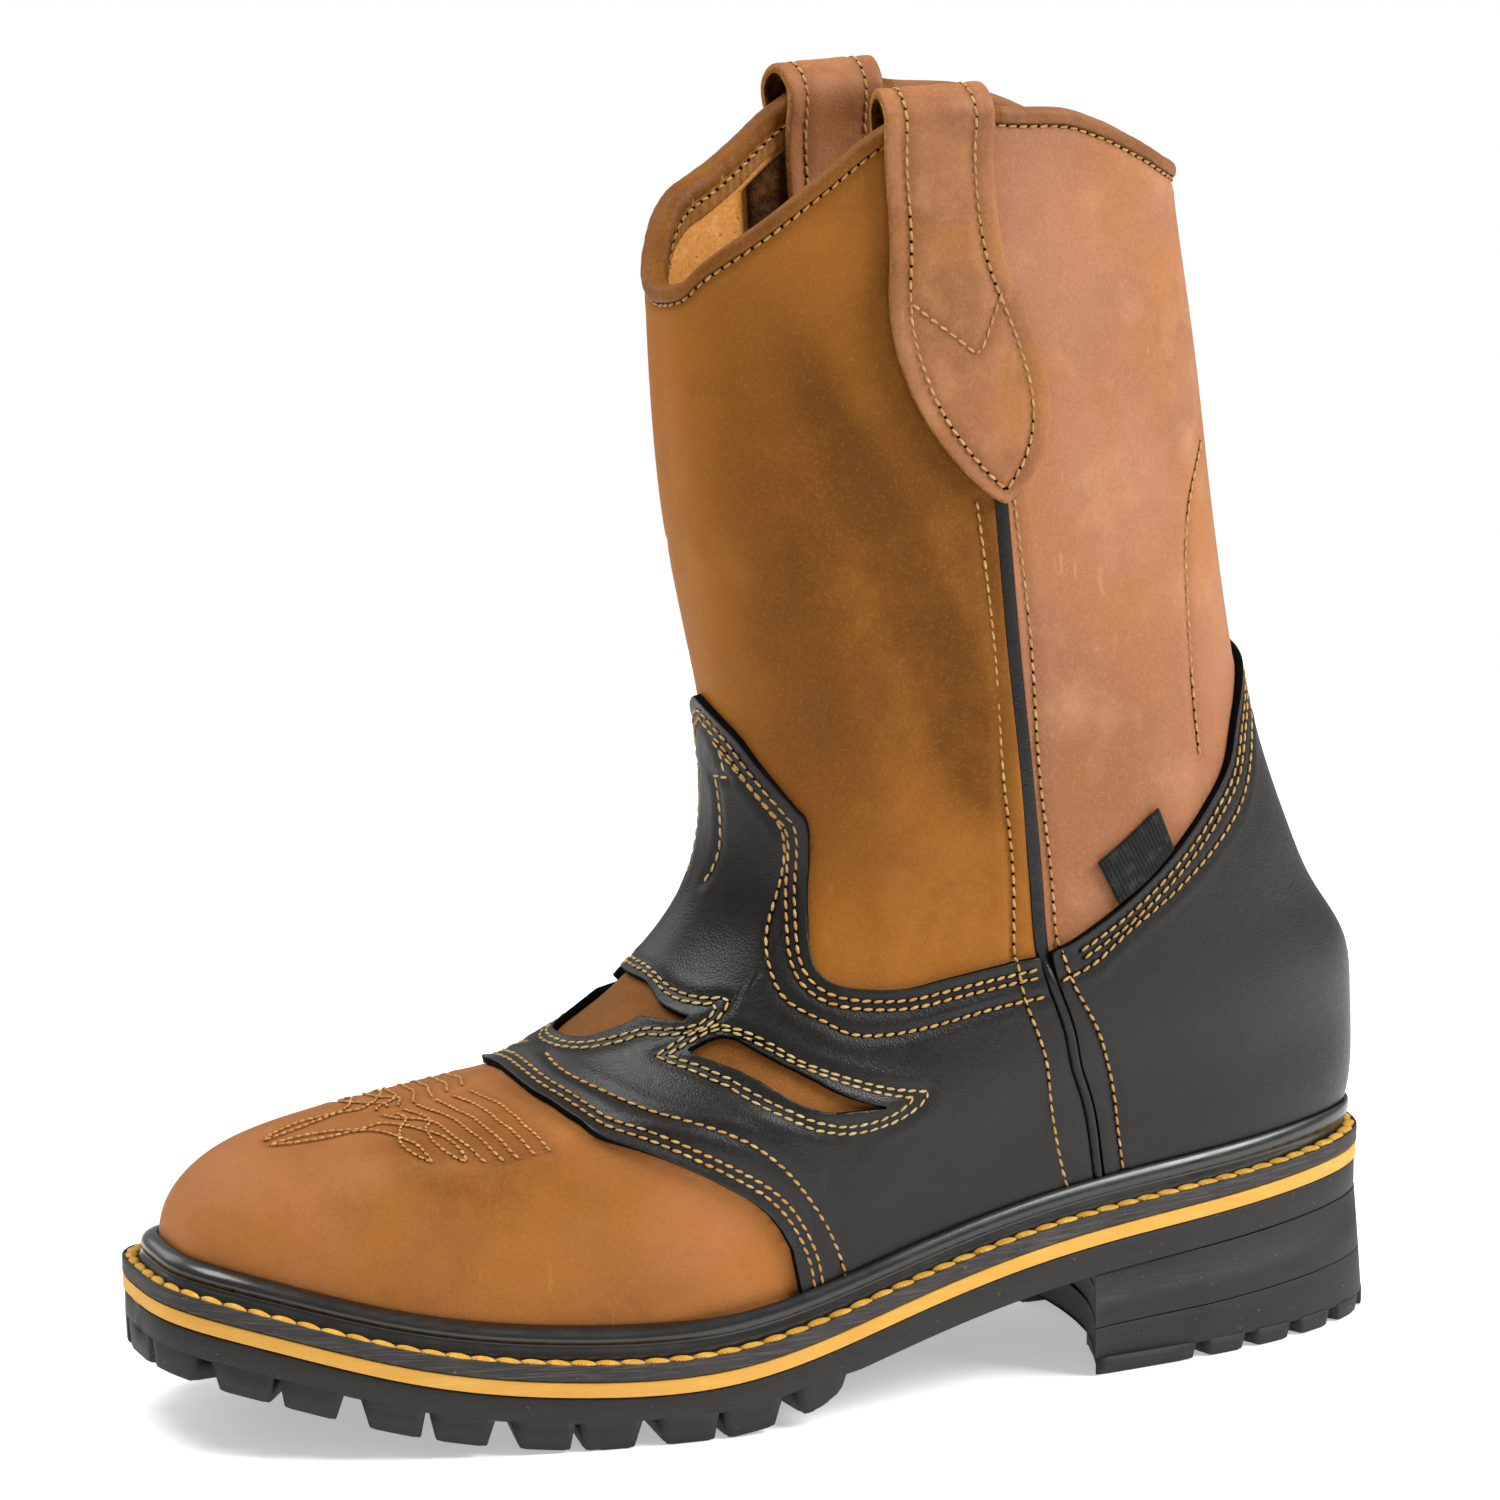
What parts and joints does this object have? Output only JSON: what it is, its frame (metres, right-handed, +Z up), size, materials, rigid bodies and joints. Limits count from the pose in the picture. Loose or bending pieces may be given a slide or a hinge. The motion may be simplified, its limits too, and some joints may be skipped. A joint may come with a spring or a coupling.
{
  "type": "pull-on work boot",
  "caption": "Pull-on steel toe work boot for the left foot: brown leather shaft and toe, black leather overlays, stitched welt, lugged rubber sole and heel, pull straps at the top.",
  "frame": {"origin": "on the floor under the middle of the boot's bounding box, with the tread and heel at z = 0", "axes": "+X from toe to heel along the boot's length, +Y towards the inner (medial) side, +Z up; the toe points to -X and the outer side faces -Y"},
  "size_m": [0.301, 0.1068, 0.2963],
  "materials": {
    "brown_leather": "oiled matt nubuck, tan brown",
    "strap_leather": "oiled matt nubuck, darker brown",
    "black_leather": "semi-matt grained",
    "suede_lining": "rough tan split",
    "counter_board": "stiff moulded sheet",
    "insole_board": "fibre board",
    "cork": "ground cork filler",
    "steel": "pressed steel",
    "black_rubber": "matt moulded",
    "gloss_rubber": "glossy moulded strip",
    "welt_rubber": "grooved dark grey",
    "yellow_rubber": "matt yellow layer",
    "yellow_thread": "thick waxed thread",
    "foot_fabric": "dark felt",
    "label_fabric": "plain black weave"
  },
  "bodies": {
    "root": {"toe_vamp": "brown_leather", "shaft_front": "brown_leather", "shaft_back": "brown_leather", "top_binding": "brown_leather", "pull_strap_lateral": "strap_leather", "pull_strap_medial": "strap_leather", "top_facing": "strap_leather", "vamp_overlay": "black_leather", "heel_overlay": "black_leather", "side_piping_lateral": "black_leather", "side_piping_medial": "black_leather", "vamp_lining": "suede_lining", "heel_lining": "suede_lining", "shaft_lining": "suede_lining", "back_stay": "suede_lining", "heel_counter": "counter_board", "insole_board": "insole_board", "cork_filler": "cork", "steel_shank": "steel", "steel_toe_cap": "steel", "label_tab": "label_fabric", "welt": "welt_rubber", "storm_rand": "gloss_rubber", "welt_stitching": "yellow_thread", "midsole": "yellow_rubber", "footbed": "foot_fabric", "outsole": "black_rubber", "heel_base": "black_rubber", "heel_lift": "black_rubber"}
  },
  "joints": []
}
